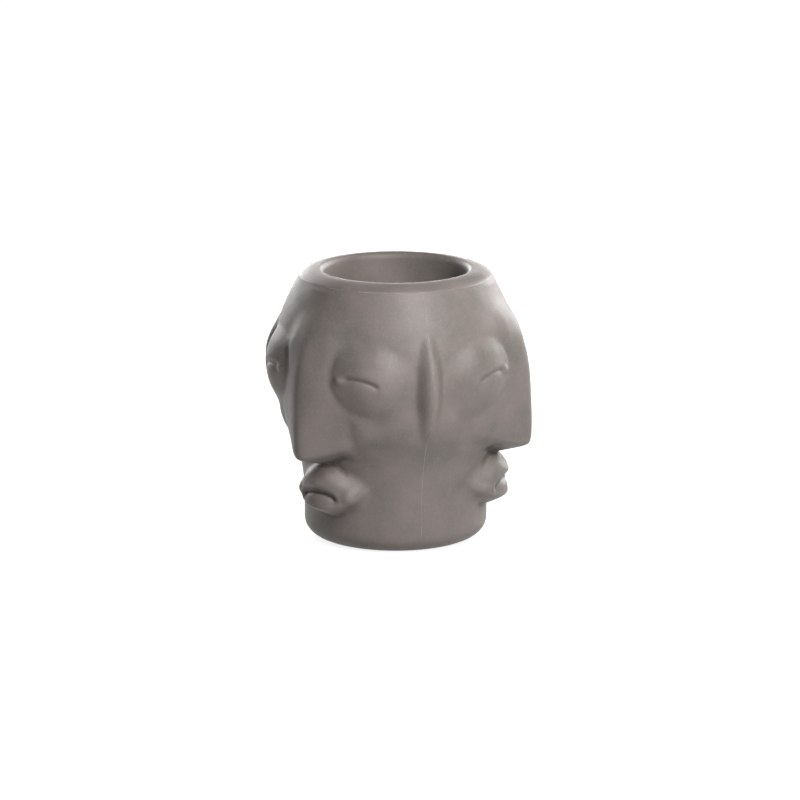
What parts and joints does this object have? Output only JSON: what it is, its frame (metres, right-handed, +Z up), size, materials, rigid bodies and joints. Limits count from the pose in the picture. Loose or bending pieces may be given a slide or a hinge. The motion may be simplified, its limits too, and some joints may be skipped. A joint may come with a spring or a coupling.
{
  "type": "head planter",
  "caption": "Barrel-shaped hollow plastic plant pot with stylised closed-eyed faces pressed out of its side, a rolled rim, a deep planting well and a pull-out drain bung",
  "frame": {"origin": "on the pot's upright axis, in the plane of the foot ring it stands on", "axes": "+Z up along the axis of the planting well; one face looks along -Y"},
  "size_m": [0.127, 0.1325, 0.13],
  "materials": {
    "shell": "matte moulded polyethylene, taupe grey, fine grain",
    "bung": "soft matte rubber",
    "stopper": "matte moulded plastic"
  },
  "bodies": {
    "pot": {"head_shell": "shell", "vent_plug": "stopper"},
    "bung": {"drain_plug": "bung"}
  },
  "joints": [
    {"name": "bung_pull", "type": "slide", "parent": "pot", "child": "bung", "axis": [0, 0, -1], "range_m": [0, 0.018]}
  ]
}
